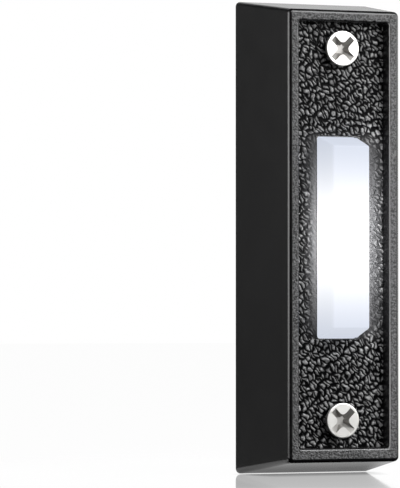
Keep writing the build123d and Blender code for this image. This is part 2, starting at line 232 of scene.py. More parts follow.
# %% Backdrop
# Full white where it is seen, and a dimmer light on everything else
AMBIENT = 0.3
world = bpy.data.worlds.new("white_room")
bpy.context.scene.world = world
world.use_nodes = True
tree = world.node_tree
path = add(tree, "ShaderNodeLightPath").outputs
shown = path["Is Camera Ray"]
for ray in ("Is Glossy Ray", "Is Transmission Ray"):
    shown = add(tree, "ShaderNodeMath", {0: shown, 1: path[ray]}, operation="MAXIMUM").outputs[0]
strength = add(tree, "ShaderNodeMapRange", {"Value": shown, "To Min": AMBIENT, "To Max": 1.0}).outputs[0]
backdrop = tree.nodes["Background"]
backdrop.inputs["Color"].default_value = linear("#ffffff")
tree.links.new(strength, backdrop.inputs["Strength"])
print("backdrop lights with", AMBIENT, "of its white")

# %% [markdown]
# ## Lamps and cards
# Black plastic has little colour of its own, so what it reflects makes its look. A soft box to the right of
# the front lights all of it. Three strips show only in reflections: the left one draws the thin line along
# the left edge, and the others brighten what faces right and up. Black cards take the white room out of the
# reflections where the plastic has to stay dark, and grey ones let a little of it through. The cards are
# seen in reflections only, so they cast no shade; the one before the foot also stops the light that a white
# table would throw up.

# %% Lamps
def area_lamp(name, place, towards, size, watts):
    """A one-sided rectangular lamp that the camera doesn't see."""
    lamp = bpy.data.lights.new(name, "AREA")
    lamp.shape = "RECTANGLE"
    lamp.size, lamp.size_y = size
    lamp.energy = watts
    box = new_object(name, lamp)
    box.location = place
    box.rotation_euler = Vector(towards).to_track_quat("-Z", "Y").to_euler()
    box.visible_camera = False
    return box


KEY_AZIMUTH, KEY_ELEVATION, KEY_DISTANCE = 28, 22, 0.4
KEY_SIZE = 0.27, 0.3
KEY_WATTS = 1.8
key_place = around(KEY_AZIMUTH, KEY_ELEVATION, KEY_DISTANCE)
area_lamp("key_box", key_place, -key_place, KEY_SIZE, KEY_WATTS)

# Azimuth, elevation, width, height and watts
STRIP_DISTANCE = 0.7
STRIPS = {
    "edge_strip": (-100, 2, 0.62, 0.7, 4.7),
    "right_strip": (80, 4, 0.5, 0.6, 2.3),
    "over_strip": (12, 50, 0.7, 0.26, 4.2),
}
for name, (turn, rise, wide, tall, watts) in STRIPS.items():
    strip_place = around(turn, rise, STRIP_DISTANCE)
    area_lamp(name, strip_place, -strip_place, (wide, tall), watts).visible_diffuse = False

# %% Cards
def card_paint(name, thinness):
    """Black that is seen from one side only and lets this share of the light through."""
    paint, tree, shader = finish_named(
        name, Base_Color=linear("#050505"), Roughness=1.0, Specular_IOR_Level=0.0
    )
    behind = add(tree, "ShaderNodeNewGeometry").outputs["Backfacing"]
    open_share = add(tree, "ShaderNodeMapRange", {"Value": behind, "To Min": thinness}).outputs[0]
    through = add(tree, "ShaderNodeBsdfTransparent")
    one_sided = add(tree, "ShaderNodeMixShader", {0: open_share, 1: shader.outputs[0], 2: through.outputs[0]})
    tree.links.new(one_sided.outputs[0], tree.nodes["Material Output"].inputs["Surface"])
    return paint


def card(name, corners, paint):
    """A card that is seen only in reflections, and only from the side it faces."""
    quad = stage_quad(name, corners, paint)
    for ray in ("camera", "diffuse", "transmission", "shadow", "volume_scatter"):
        setattr(quad, "visible_" + ray, False)
    return quad


GREY_THINNESS = 0.14
black_card, grey_card = card_paint("black_card", 0.0), card_paint("grey_card", GREY_THINNESS)

# Azimuths of the two ends, the higher one first, so that the card faces the button
CARD_DISTANCE = 0.62
CARD_FOOT, CARD_HEAD = -0.4, 0.5
UPRIGHT_CARDS = {
    "card_left": (-14, -70, black_card),
    "card_left_back": (-122, -169, grey_card),
    "card_right": (50, 2, black_card),
}
for name, (start, end, paint) in UPRIGHT_CARDS.items():
    feet = [around(a, 0, CARD_DISTANCE) for a in (start, end)]
    levels = CARD_FOOT, CARD_FOOT, CARD_HEAD, CARD_HEAD
    card(name, [(foot.x, foot.y, z) for foot, z in zip(feet + feet[::-1], levels)], paint)

# Spans in X and Y, and the level
CARD_CEILING = 0.45
CARD_FLOOR = TABLE_LEVEL + 0.5 * MM
card("card_over", level_corners((0.5, -0.5), (-0.28, 0.55), CARD_CEILING), black_card)
card_under = card("card_under", level_corners((-0.5, 0.5), (-0.6, -0.018), CARD_FLOOR), black_card)
card_under.visible_diffuse = True
card("card_left_floor", level_corners((-0.6, -0.022), (-0.02, 0.7), CARD_FLOOR), grey_card)

# %% [markdown]
# ## Housing
# The housing is injection-moulded ABS, dyed black right through. Its outside was polished in the mould to a
# satin, which gives soft, dark reflections, and the flat top of the rim was spark-eroded, which leaves a fine
# sparkle. That sparkle is a bump with painted highlights: lighter grey specks painted into the rim's colour.
# One material tells the two apart by how far forward a point lies, so the solid needs no seams. On the rim's
# outer edge the painted sparkle ends with the flat, and on its inner edge it goes a little further round.

# %% Black ABS: where the rim sparkles
RIM_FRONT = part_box("housing")[0].y
PANEL_TOP, PANEL_BOTTOM = 48.1 * MM, -47.6 * MM
PANEL_CENTRE = (PANEL_TOP + PANEL_BOTTOM) / 2
# Half the width and height of the line along the middle of the rim
RIM_LINE = {"X": 12.05 * MM, "Z": 48.9 * MM}
FLAT_DEPTH, OUTER_DEPTH, INNER_DEPTH = 0.01 * MM, 0.03 * MM, 0.18 * MM
black_abs, tree, shader = finish_named("black_abs", IOR=1.53)
place = add(tree, "ShaderNodeTexCoord").outputs["Object"]
forward = add(tree, "ShaderNodeSeparateXYZ", {0: place}).outputs["Y"]
out = add(tree, "ShaderNodeVectorMath", {0: place, 1: (0, 0, PANEL_CENTRE)}, operation="SUBTRACT").outputs[0]
out = add(tree, "ShaderNodeVectorMath", {0: out}, operation="ABSOLUTE").outputs[0]
out = add(tree, "ShaderNodeSeparateXYZ", {0: out}).outputs
within = [
    add(tree, "ShaderNodeMath", {0: out[axis], 1: limit}, operation="LESS_THAN").outputs[0]
    for axis, limit in RIM_LINE.items()
]
on_inner = add(tree, "ShaderNodeMath", {0: within[0], 1: within[1]}, operation="MULTIPLY").outputs[0]
spark_end = add(tree, "ShaderNodeMapRange", {
    "Value": on_inner, "To Min": RIM_FRONT + OUTER_DEPTH, "To Max": RIM_FRONT + INNER_DEPTH,
}).outputs[0]
on_rim = add(tree, "ShaderNodeMapRange", {
    "Value": forward, "From Min": spark_end, "From Max": RIM_FRONT + FLAT_DEPTH,
}, interpolation_type="SMOOTHSTEP").outputs[0]
on_flat = add(tree, "ShaderNodeMapRange", {
    "Value": forward, "From Min": RIM_FRONT + OUTER_DEPTH, "From Max": RIM_FRONT + FLAT_DEPTH,
}).outputs[0]
print("rim front at", round(RIM_FRONT / MM, 2), "mm")

# %% Black ABS: gloss, colour and relief
# The real sparkle is too fine to show at the picture's size, so it is drawn coarser
SPARK_GRAIN = 0.45 * MM
SPARK_ROUGHNESS = 0.5
SPARK_DARK, SPARK_LIGHT = 0.42, 0.58
SPARK_DEPTH = 0.5 * MM
SATIN_CLOUD = 6 * MM
SATIN_SMOOTH, SATIN_ROUGH = 0.2, 0.27
SATIN_BUMP = 0.02
spark = add(tree, "ShaderNodeTexNoise", {
    "Vector": place, "Scale": 1 / SPARK_GRAIN, "Detail": 2.0, "Roughness": 0.6,
}).outputs["Fac"]
satin = add(tree, "ShaderNodeTexNoise", {"Vector": place, "Scale": 1 / SATIN_CLOUD, "Detail": 4.0})
satin = add(tree, "ShaderNodeMapRange", {
    "Value": satin.outputs["Fac"], "To Min": SATIN_SMOOTH, "To Max": SATIN_ROUGH,
}).outputs[0]
rough = add(tree, "ShaderNodeMix", {"Factor": on_flat, "A": satin, "B": SPARK_ROUGHNESS})
tree.links.new(rough.outputs[0], shader.inputs["Roughness"])
# Painted highlight: the sparkle's glints are painted into the rim's colour as lighter grey specks
painted_sparkle = add(tree, "ShaderNodeMapRange", {
    "Value": spark, "From Min": SPARK_DARK, "From Max": SPARK_LIGHT,
}).outputs[0]
painted_sparkle_colour = add(tree, "ShaderNodeMix", {
    "Factor": painted_sparkle, "A": linear("#060607"), "B": linear("#5b5b5c"),
}, data_type="RGBA").outputs["Result"]
shade = add(tree, "ShaderNodeMix", {
    "Factor": on_rim, "A": linear("#101011"), "B": painted_sparkle_colour,
}, data_type="RGBA").outputs["Result"]
tree.links.new(shade, shader.inputs["Base Color"])
depth = add(tree, "ShaderNodeMapRange", {"Value": on_flat, "To Min": SATIN_BUMP, "To Max": 1.0}).outputs[0]
relief = add(tree, "ShaderNodeBump", {"Strength": depth, "Distance": SPARK_DEPTH, "Height": spark})
tree.links.new(relief.outputs[0], shader.inputs["Normal"])
nodes["housing"].material_slots[0].material = black_abs
print("black ABS has", len(tree.nodes), "nodes")

# %% [markdown]
# ## Shapes that follow a rule
# The grain, threads, springs, tracks and solder joints each follow a rule, so each comes from a Geometry
# Nodes tree with named inputs for its sizes. A tree runs as a modifier on an object. What it makes is then
# kept as a plain mesh and the modifier is removed, so that later steps find fixed points and faces.

# %% Trees and the pieces they make
def new_tree(name, inputs):
    """A Geometry Nodes tree with named inputs, its input sockets and its output node."""
    tree = bpy.data.node_groups.new(name, "GeometryNodeTree")
    tree.interface.new_socket("Geometry", in_out="INPUT", socket_type="NodeSocketGeometry")
    for label, kind in inputs.items():
        tree.interface.new_socket(label, in_out="INPUT", socket_type="NodeSocket" + kind)
    tree.interface.new_socket("Geometry", in_out="OUTPUT", socket_type="NodeSocketGeometry")
    return tree, add(tree, "NodeGroupInput").outputs, add(tree, "NodeGroupOutput")


def close_tree(tree, geometry, given, output):
    """End a tree in Realize Instances, Set Material and its output."""
    real = add(tree, "GeometryNodeRealizeInstances", {0: geometry}).outputs[0]
    painted = add(tree, "GeometryNodeSetMaterial", {"Geometry": real, "Material": given["Material"]})
    tree.links.new(painted.outputs[0], output.inputs[0])
    print(tree.name, "has", len(tree.nodes), "nodes")


def made_by_modifiers(piece):
    """A plain mesh of what a piece's modifiers make."""
    depsgraph = bpy.context.evaluated_depsgraph_get()
    return bpy.data.meshes.new_from_object(piece.evaluated_get(depsgraph), depsgraph=depsgraph)


def grow(name, tree, values, mesh=None):
    """Run a tree with these inputs and keep what it makes as a plain mesh object."""
    piece = new_object(name, mesh or bpy.data.meshes.new(name))
    modifier = piece.modifiers.new("grow", "NODES")
    modifier.node_group = tree
    for item in tree.interface.items_tree:
        if item.in_out == "INPUT" and item.name in values:
            modifier[item.identifier] = values[item.name]
    made = made_by_modifiers(piece)
    piece.modifiers.remove(modifier)
    piece.data = made
    made.name = name
    print(name, "has", len(made.polygons), "faces")
    return piece


# %% [markdown]
# ## Grained panel
# The recessed panel has a coarse leather grain: long, uneven pebbles that lie side by side with narrow
# grooves between them. A bump map would not hold up from the side, so a Geometry Nodes tree lifts a fine
# grid. A Voronoi pattern splits the plane into cells, and its distance to the nearest cell edge makes the
# grooves. Two noises bend the plane first, so that no groove runs straight, and a stretch makes the cells
# long. The grain fades out round the window and the screws.

# %% Grain: inputs and grid
grain_tree, given, output = new_tree("leather_grain", {
    "Width": "Float", "Height": "Float", "Columns": "Int", "Rows": "Int", "Front": "Float", "Middle": "Float",
    "Window Width": "Float", "Window Height": "Float", "Window Middle": "Float",
    "Side Fade": "Float", "End Fade": "Float", "Calm": "Float",
    "Upper Screw": "Float", "Lower Screw": "Float", "Screw Clear": "Float",
    "Pebble Width": "Float", "Relief": "Float", "Material": "Material",
})
tree = grain_tree
grid = add(tree, "GeometryNodeMeshGrid", {
    "Size X": given["Width"], "Size Y": given["Height"],
    "Vertices X": given["Columns"], "Vertices Y": given["Rows"],
})
middle = add(tree, "ShaderNodeCombineXYZ", {"Y": given["Middle"]}).outputs[0]
placed = add(tree, "GeometryNodeTransform", {"Geometry": grid.outputs[0], "Translation": middle})
spot = add(tree, "GeometryNodeInputPosition").outputs[0]
print("grain tree: the grid takes", len(tree.nodes), "nodes")

# %% Grain: pebbles
# Voronoi cells on a plane that is bent, leaned over and stretched, all in pebble widths
PEBBLE_LONG = 2.1
PEBBLE_LEAN = math.radians(-40)
CELL_SCATTER = 0.86
BENDS = ({"Scale": 0.28, "Detail": 1.0}, 1.7), ({"Scale": 0.9, "Detail": 0.0}, 1.0)
NOISE_MID = 0.5
GROOVE_FLOOR, GROOVE_EDGE = 0.115, 0.345
GROOVE_WANDER = 0.18
WANDER_NOISE = {"Scale": 1.1, "Detail": 1.0}
SHOULDER = 0.7
LOWEST_PEBBLE = 0.85
per_width = add(tree, "ShaderNodeMath", {0: 1.0, 1: given["Pebble Width"]}, operation="DIVIDE").outputs[0]
plane = add(tree, "ShaderNodeVectorMath", {0: spot, "Scale": per_width}, operation="SCALE").outputs[0]
bent = plane
for noise, reach in BENDS:
    bend = add(tree, "ShaderNodeTexNoise", {"Vector": plane, **noise}).outputs["Color"]
    bend = add(tree, "ShaderNodeVectorMath", {0: bend, 1: [NOISE_MID] * 3}, operation="SUBTRACT").outputs[0]
    bent = add(tree, "ShaderNodeVectorMath", {
        0: bend, 1: (reach, reach, 0), 2: bent,
    }, operation="MULTIPLY_ADD").outputs[0]
bent = add(tree, "ShaderNodeVectorRotate", {"Vector": bent, "Angle": PEBBLE_LEAN}).outputs[0]
squeeze = 1, 1 / PEBBLE_LONG, 0
bent = add(tree, "ShaderNodeVectorMath", {0: bent, 1: squeeze}, operation="MULTIPLY").outputs[0]
to_edge, pebble = [
    add(tree, "ShaderNodeTexVoronoi", {
        "Vector": bent, "Scale": 1.0, "Randomness": CELL_SCATTER,
    }, feature=feature, voronoi_dimensions="2D").outputs[result]
    for feature, result in (("DISTANCE_TO_EDGE", "Distance"), ("F1", "Color"))
]
wander = add(tree, "ShaderNodeTexNoise", {"Vector": plane, **WANDER_NOISE}).outputs[0]
wander = add(tree, "ShaderNodeMath", {0: wander, 1: NOISE_MID}, operation="SUBTRACT").outputs[0]
to_edge = add(tree, "ShaderNodeMath", {
    0: wander, 1: GROOVE_WANDER, 2: to_edge,
}, operation="MULTIPLY_ADD").outputs[0]
rounded = add(tree, "ShaderNodeMapRange", {
    "Value": to_edge, "From Min": GROOVE_FLOOR, "From Max": GROOVE_EDGE,
}).outputs[0]
rounded = add(tree, "ShaderNodeMath", {0: rounded, 1: SHOULDER}, operation="POWER").outputs[0]
own_height = add(tree, "ShaderNodeSeparateXYZ", {0: pebble}).outputs[0]
own_height = add(tree, "ShaderNodeMapRange", {"Value": own_height, "To Min": LOWEST_PEBBLE}).outputs[0]
pebble_height = add(tree, "ShaderNodeMath", {0: rounded, 1: own_height}, operation="MULTIPLY").outputs[0]
print("grain tree: with its pebbles,", len(tree.nodes), "nodes")

# %% Grain: calm round the window
# The sheet starts in a narrow band round the window, and its grain grows over the side and end fades
WINDOW_BARE, WINDOW_CLEAR = 0.05 * MM, 0.25 * MM
window_spot = add(tree, "ShaderNodeCombineXYZ", {"Y": given["Window Middle"]}).outputs[0]
from_middle = add(tree, "ShaderNodeVectorMath", {0: spot, 1: window_spot}, operation="SUBTRACT").outputs[0]
from_middle = add(tree, "ShaderNodeVectorMath", {0: from_middle}, operation="ABSOLUTE").outputs[0]
half_window = add(tree, "ShaderNodeCombineXYZ", {
    "X": given["Window Width"], "Y": given["Window Height"],
}).outputs[0]
half_window = add(tree, "ShaderNodeVectorMath", {0: half_window, "Scale": 0.5}, operation="SCALE").outputs[0]
past = add(tree, "ShaderNodeVectorMath", {0: from_middle, 1: half_window}, operation="SUBTRACT").outputs[0]
past = add(tree, "ShaderNodeVectorMath", {0: past, 1: (0, 0, 0)}, operation="MAXIMUM").outputs[0]
from_window = add(tree, "ShaderNodeVectorMath", {0: past}, operation="LENGTH").outputs["Value"]
clear_window = add(tree, "ShaderNodeMapRange", {
    "Value": from_window, "From Min": WINDOW_BARE, "From Max": WINDOW_CLEAR,
}, interpolation_type="SMOOTHSTEP").outputs[0]
fades = add(tree, "ShaderNodeCombineXYZ", {
    "X": given["Side Fade"], "Y": given["End Fade"], "Z": 1.0,
}).outputs[0]
faded = add(tree, "ShaderNodeVectorMath", {0: past, 1: fades}, operation="DIVIDE").outputs[0]
faded = add(tree, "ShaderNodeVectorMath", {0: faded}, operation="LENGTH").outputs["Value"]
fullness = add(tree, "ShaderNodeMapRange", {
    "Value": faded, "To Min": given["Calm"],
}, interpolation_type="SMOOTHSTEP").outputs[0]
print("grain tree: with its window,", len(tree.nodes), "nodes")

# %% Grain: clear of the screws and the rim
SCREW_FADE = 0.4 * MM
WALL_FADE = 0.1 * MM
from_screws = []
for end in ("Upper Screw", "Lower Screw"):
    screw_spot = add(tree, "ShaderNodeCombineXYZ", {"Y": given[end]}).outputs[0]
    away = add(tree, "ShaderNodeVectorMath", {0: spot, 1: screw_spot}, operation="DISTANCE")
    from_screws.append(away.outputs["Value"])
nearest = add(tree, "ShaderNodeMath", {0: from_screws[0], 1: from_screws[1]}, operation="MINIMUM").outputs[0]
screw_end = add(tree, "ShaderNodeMath", {0: given["Screw Clear"], 1: SCREW_FADE}, operation="ADD").outputs[0]
clear_screw = add(tree, "ShaderNodeMapRange", {
    "Value": nearest, "From Min": given["Screw Clear"], "From Max": screw_end,
}, interpolation_type="SMOOTHSTEP").outputs[0]
half_panel = add(tree, "ShaderNodeCombineXYZ", {"X": given["Width"], "Y": given["Height"]}).outputs[0]
half_panel = add(tree, "ShaderNodeVectorMath", {0: half_panel, "Scale": 0.5}, operation="SCALE").outputs[0]
from_centre = add(tree, "ShaderNodeVectorMath", {0: spot, 1: middle}, operation="SUBTRACT").outputs[0]
from_centre = add(tree, "ShaderNodeVectorMath", {0: from_centre}, operation="ABSOLUTE").outputs[0]
to_wall = add(tree, "ShaderNodeVectorMath", {0: half_panel, 1: from_centre}, operation="SUBTRACT").outputs[0]
to_wall = add(tree, "ShaderNodeSeparateXYZ", {0: to_wall}).outputs
to_wall = add(tree, "ShaderNodeMath", {0: to_wall["X"], 1: to_wall["Y"]}, operation="MINIMUM").outputs[0]
clear_wall = add(tree, "ShaderNodeMapRange", {
    "Value": to_wall, "From Min": 0.0, "From Max": WALL_FADE,
}, interpolation_type="SMOOTHSTEP").outputs[0]
clear = add(tree, "ShaderNodeMath", {0: clear_window, 1: clear_screw}, operation="MULTIPLY").outputs[0]
clear = add(tree, "ShaderNodeMath", {0: clear, 1: clear_wall}, operation="MULTIPLY").outputs[0]
print("grain tree: with its edges,", len(tree.nodes), "nodes")

# %% Grain: lift the grid
# The sheet's edges are sunk into the panel, and elsewhere even its grooves stand above it
SUNK = 0.03 * MM
GROOVE_LIFT = 0.05 * MM
BARE_SHARE = 0.001
relief = add(tree, "ShaderNodeMath", {0: given["Relief"], 1: fullness}, operation="MULTIPLY").outputs[0]
lift = add(tree, "ShaderNodeMath", {
    0: pebble_height, 1: relief, 2: GROOVE_LIFT,
}, operation="MULTIPLY_ADD").outputs[0]
lift = add(tree, "ShaderNodeMath", {0: lift, 1: clear, 2: -SUNK}, operation="MULTIPLY_ADD").outputs[0]
level = add(tree, "ShaderNodeMath", {0: given["Front"], 1: lift}, operation="SUBTRACT").outputs[0]
flat = add(tree, "ShaderNodeSeparateXYZ", {0: spot}).outputs
raised = add(tree, "ShaderNodeCombineXYZ", {"X": flat["X"], "Y": level, "Z": flat["Y"]}).outputs[0]
bare = add(tree, "FunctionNodeCompare", {"A": clear, "B": BARE_SHARE}, operation="LESS_THAN").outputs[0]
cut = add(tree, "GeometryNodeDeleteGeometry", {
    "Geometry": placed.outputs[0], "Selection": bare,
}, domain="FACE")
shaped = add(tree, "GeometryNodeSetPosition", {"Geometry": cut.outputs[0], "Position": raised})
smooth = add(tree, "GeometryNodeSetShadeSmooth", {"Geometry": shaped.outputs[0]})
close_tree(tree, smooth.outputs[0], given, output)

# %% [markdown]
# ## Grained ABS
# The panel is the housing's own black ABS. Its light and shade are painted into its colour by height above
# the panel: painted shade makes the grooves black, the pebbles are painted pale where they catch the light,
# and their very crests are painted a little darker again, with a fine mottle over it all. Beside the lens the
# colour gives way to an even grey, a painted glow of the lens's light, which lamps there brighten to a haze.

# %% Grained ABS: painted light and shade by height
PANEL_FRONT = RIM_FRONT + 3.6 * MM
GRAIN_RELIEF = 0.4 * MM
GROOVE_HEIGHT = GROOVE_LIFT - SUNK
CREST_HEIGHT = GROOVE_HEIGHT + GRAIN_RELIEF
LIGHT_PAINT_POWER = 2.2
CREST_POWER, CREST_SHARE = 4.0, 0.65
MOTTLE = 0.6 * MM
MOTTLE_DARK, MOTTLE_LIGHT = 0.35, 1.3
# A noise texture gives values from 0 to 1, but most of them lie in this span
NOISE_LOW, NOISE_HIGH = 0.35, 0.65
grained_abs, tree, shader = finish_named("grained_abs", IOR=1.53)
place = add(tree, "ShaderNodeTexCoord").outputs["Object"]
apart = add(tree, "ShaderNodeSeparateXYZ", {0: place}).outputs
# Painted light and shade: the higher a point above the panel, the paler it is painted, so the grooves hold
# painted shade
height = add(tree, "ShaderNodeMapRange", {
    "Value": apart["Y"], "From Min": PANEL_FRONT - GROOVE_HEIGHT, "From Max": PANEL_FRONT - CREST_HEIGHT,
}).outputs[0]
# Painted shade on the very crests, which leaves the shoulders below them as painted highlights
crest_shade = add(tree, "ShaderNodeMath", {0: height, 1: CREST_POWER}, operation="POWER").outputs[0]
crest_shade = add(tree, "ShaderNodeMath", {0: crest_shade, 1: -CREST_SHARE, 2: 1.0}, operation="MULTIPLY_ADD").outputs[0]
mottle = add(tree, "ShaderNodeTexNoise", {"Vector": place, "Scale": 1 / MOTTLE, "Detail": 2.0})
mottle = add(tree, "ShaderNodeMapRange", {
    "Value": mottle.outputs["Fac"], "From Min": NOISE_LOW, "From Max": NOISE_HIGH,
    "To Min": MOTTLE_DARK, "To Max": MOTTLE_LIGHT,
}).outputs[0]
painted_light = add(tree, "ShaderNodeMath", {0: height, 1: LIGHT_PAINT_POWER}, operation="POWER").outputs[0]
for share in (crest_shade, mottle):
    painted_light = add(tree, "ShaderNodeMath", {0: painted_light, 1: share}, operation="MULTIPLY").outputs[0]
shade = add(tree, "ShaderNodeMix", {
    "Factor": painted_light, "A": linear("#020203"), "B": linear("#d4d4d5"),
}, data_type="RGBA").outputs["Result"]
print("grain stands", round(GROOVE_HEIGHT / MM, 2), "to", round(CREST_HEIGHT / MM, 2), "mm above the panel")

# %% Grained ABS: painted glow beside the lens
# Where the painted glow ends and where it is full: to the right, to the left, and up or down
GLOW_PAINT_RIGHT = 17 * MM, 8.5 * MM
GLOW_PAINT_LEFT = -9.8 * MM, -6.2 * MM
GLOW_PAINT_HEIGHT = 25 * MM, 19 * MM
GROOVE_GLOSS, PALE_GLOSS, GLOW_PAINT_GLOSS = 0.02, 0.5, 0.05
FILM = 0.5 * MM
FILM_SMOOTH, FILM_ROUGH = 0.24, 0.38
upward = add(tree, "ShaderNodeMath", {0: apart["Z"]}, operation="ABSOLUTE").outputs[0]
right_share, left_share, height_share = [
    add(tree, "ShaderNodeMapRange", {
        "Value": value, "From Min": ends, "From Max": full,
    }, interpolation_type=kind).outputs[0]
    for value, (ends, full), kind in (
        (apart["X"], GLOW_PAINT_RIGHT, "LINEAR"),
        (apart["X"], GLOW_PAINT_LEFT, "LINEAR"),
        (upward, GLOW_PAINT_HEIGHT, "SMOOTHSTEP"),
    )
]
painted_glow = add(tree, "ShaderNodeMath", {0: right_share, 1: left_share}, operation="MULTIPLY").outputs[0]
painted_glow = add(tree, "ShaderNodeMath", {0: painted_glow, 1: height_share}, operation="MULTIPLY").outputs[0]
# Painted glow: beside the lens the colour turns an even grey, standing for the lens's light on the panel
shade = add(tree, "ShaderNodeMix", {
    "Factor": painted_glow, "A": shade, "B": linear("#343435"),
}, data_type="RGBA").outputs["Result"]
tree.links.new(shade, shader.inputs["Base Color"])
# The gloss follows the painted light, so the grooves also reflect next to nothing
gloss = add(tree, "ShaderNodeMapRange", {
    "Value": painted_light, "To Min": GROOVE_GLOSS, "To Max": PALE_GLOSS,
}).outputs[0]
gloss = add(tree, "ShaderNodeMix", {"Factor": painted_glow, "A": gloss, "B": GLOW_PAINT_GLOSS}).outputs[0]
tree.links.new(gloss, shader.inputs["Specular IOR Level"])
film = add(tree, "ShaderNodeTexNoise", {"Vector": place, "Scale": 1 / FILM, "Detail": 3.0}).outputs["Fac"]
rough = add(tree, "ShaderNodeMapRange", {"Value": film, "To Min": FILM_SMOOTH, "To Max": FILM_ROUGH})
tree.links.new(rough.outputs[0], shader.inputs["Roughness"])
print("grained ABS has", len(tree.nodes), "nodes")

# %% Grain on the panel
ENDS = "top", "bottom"
PANEL_WIDTH = 22.1 * MM
GRID_PITCH = 0.135 * MM
panel_height = PANEL_TOP - PANEL_BOTTOM
screw_rows = {end: middle_of("mounting_screw_" + end).z for end in ENDS}
panel_grain = grow("panel_grain", grain_tree, {
    "Width": PANEL_WIDTH, "Height": panel_height, "Front": PANEL_FRONT, "Middle": PANEL_CENTRE,
    "Columns": round(PANEL_WIDTH / GRID_PITCH) + 1, "Rows": round(panel_height / GRID_PITCH) + 1,
    "Window Width": 10.4 * MM, "Window Height": 45.5 * MM, "Window Middle": -0.3 * MM,
    "Side Fade": 3.2 * MM, "End Fade": 0.4 * MM, "Calm": 0.3,
    "Upper Screw": screw_rows["top"], "Lower Screw": screw_rows["bottom"], "Screw Clear": 2.45 * MM,
    "Pebble Width": 0.9 * MM, "Relief": GRAIN_RELIEF, "Material": grained_abs,
})

# Close the sheet at its back, inside the panel
work = bmesh.new()
work.from_mesh(panel_grain.data)
bmesh.ops.triangle_fill(work, edges=[edge for edge in work.edges if edge.is_boundary])
bmesh.ops.recalc_face_normals(work, faces=work.faces)
work.to_mesh(panel_grain.data)
work.free()
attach(panel_grain, "root")

# %% [markdown]
# ## Light from the lens
# The lit lens throws a soft glow on what lies beside it. Light traced from its own surface would be noisy
# and hard to steer, so small lamps stand in for it. Two hang over the panel and, by light linking, light
# only its grain, and a third shines to the right from the lens's flank. These are brightest at the middle.
# A fourth, long and even, shows only in reflections, as a light line on the rim's inner edge.

# %% Light from the lens
def bell(tree, share):
    """A bell curve: one where the share is zero, and next to nothing where it is two."""
    square = add(tree, "ShaderNodeMath", {0: share, 1: share}, operation="MULTIPLY").outputs[0]
    fall = add(tree, "ShaderNodeMath", {0: square, 1: -1.0}, operation="MULTIPLY").outputs[0]
    return add(tree, "ShaderNodeMath", {0: fall}, operation="EXPONENT").outputs[0]


SPILL_LENGTH = 46 * MM
SPILL_WIDTH = 0.8 * MM
SPILL_TAPER, FLANK_TAPER = 15 * MM, 24 * MM
LENS_FLANK = 5.2 * MM
FLANK_FORWARD, FLANK_WIDTH, FLANK_WATTS = 1.6 * MM, 3.6 * MM, 0.0032
LIP_FORWARD, LIP_WIDTH, LIP_LENGTH, LIP_WATTS = 4 * MM, 8.2 * MM, 96 * MM, 0.015
# Place in X, distance from the panel and watts
PANEL_SPILL = {
    "spill_left": (-5.5 * MM, 1.7 * MM, 0.0056),
    "spill_right": (6.9 * MM, 3.2 * MM, 0.0120),
}
lit_by_lens = bpy.data.collections.new("lit_by_lens")
lit_by_lens.objects.link(panel_grain)
spills = []
for name, (x, lift, watts) in PANEL_SPILL.items():
    lamp = area_lamp(name, (x, PANEL_FRONT - lift, 0.0), (0, 1, 0), (SPILL_WIDTH, SPILL_LENGTH), watts)
    lamp.light_linking.receiver_collection = lit_by_lens
    spills.append((lamp, SPILL_TAPER))
flank_glow = area_lamp(
    "flank_glow", (LENS_FLANK, RIM_FRONT - FLANK_FORWARD, 0.0), (1, 0, 0),
    (FLANK_WIDTH, SPILL_LENGTH), FLANK_WATTS,
)
spills.append((flank_glow, FLANK_TAPER))
lip_glow = area_lamp(
    "lip_glow", (LENS_FLANK, RIM_FRONT - LIP_FORWARD, 0.0), (1, 0, 0), (LIP_WIDTH, LIP_LENGTH), LIP_WATTS
)
lip_glow.visible_diffuse = False
for lamp, taper in spills:
    lamp.visible_glossy = False
    lamp.data.use_nodes = True
    tree = lamp.data.node_tree
    over = add(tree, "ShaderNodeNewGeometry").outputs["Parametric"]
    along = add(tree, "ShaderNodeSeparateXYZ", {0: over}).outputs["Y"]
    along = add(tree, "ShaderNodeMath", {0: along, 1: 0.5}, operation="SUBTRACT").outputs[0]
    along = add(tree, "ShaderNodeMath", {0: along, 1: SPILL_LENGTH / taper}, operation="MULTIPLY").outputs[0]
    tree.links.new(bell(tree, along), tree.nodes["Emission"].inputs["Strength"])
print("lens light:", [lamp.name for lamp, taper in spills] + [lip_glow.name])

# %% [markdown]
# ## Lens
# The lens is clear plastic with a milky filler, lit from behind by one lamp just below its middle. Its glow
# is emission on its surface, strongest there and fading towards the ends. The ends are painted glow as well:
# their cool white is emitted over a dark grey base colour, standing for the plastic's own white. A bell curve
# along the lens gives that fall without tracing any light through it.

# %% Milky lens
LENS_GLOW = 14.1 * MM
LAMP_DROP = 1.1 * MM
LENS_LIGHT = 1.25
LENS_ENDS = 0.7
milky_lens, tree, shader = finish_named(
    "milky_lens", Base_Color=linear("#454852"), IOR=1.49, Roughness=0.45, Specular_IOR_Level=0.2,
    Emission_Strength=LENS_LIGHT,
)
place = add(tree, "ShaderNodeTexCoord").outputs["Object"]
along = add(tree, "ShaderNodeSeparateXYZ", {0: place}).outputs["Z"]
along = add(tree, "ShaderNodeMath", {0: along, 1: LAMP_DROP}, operation="ADD").outputs[0]
share = add(tree, "ShaderNodeMath", {0: along, 1: LENS_GLOW}, operation="DIVIDE").outputs[0]
# Painted glow: even the ends emit a cool white, over the dark base colour
end_light = [channel * LENS_ENDS / LENS_LIGHT for channel in linear("#e7efff")]
light = add(tree, "ShaderNodeMix", {
    "Factor": bell(tree, share), "A": end_light, "B": linear("#ffffff"),
}, data_type="RGBA")
tree.links.new(light.outputs["Result"], shader.inputs["Emission Color"])
nodes["push_button"].material_slots[0].material = milky_lens
print("lens light at its ends:", [round(channel, 2) for channel in end_light[:3]])

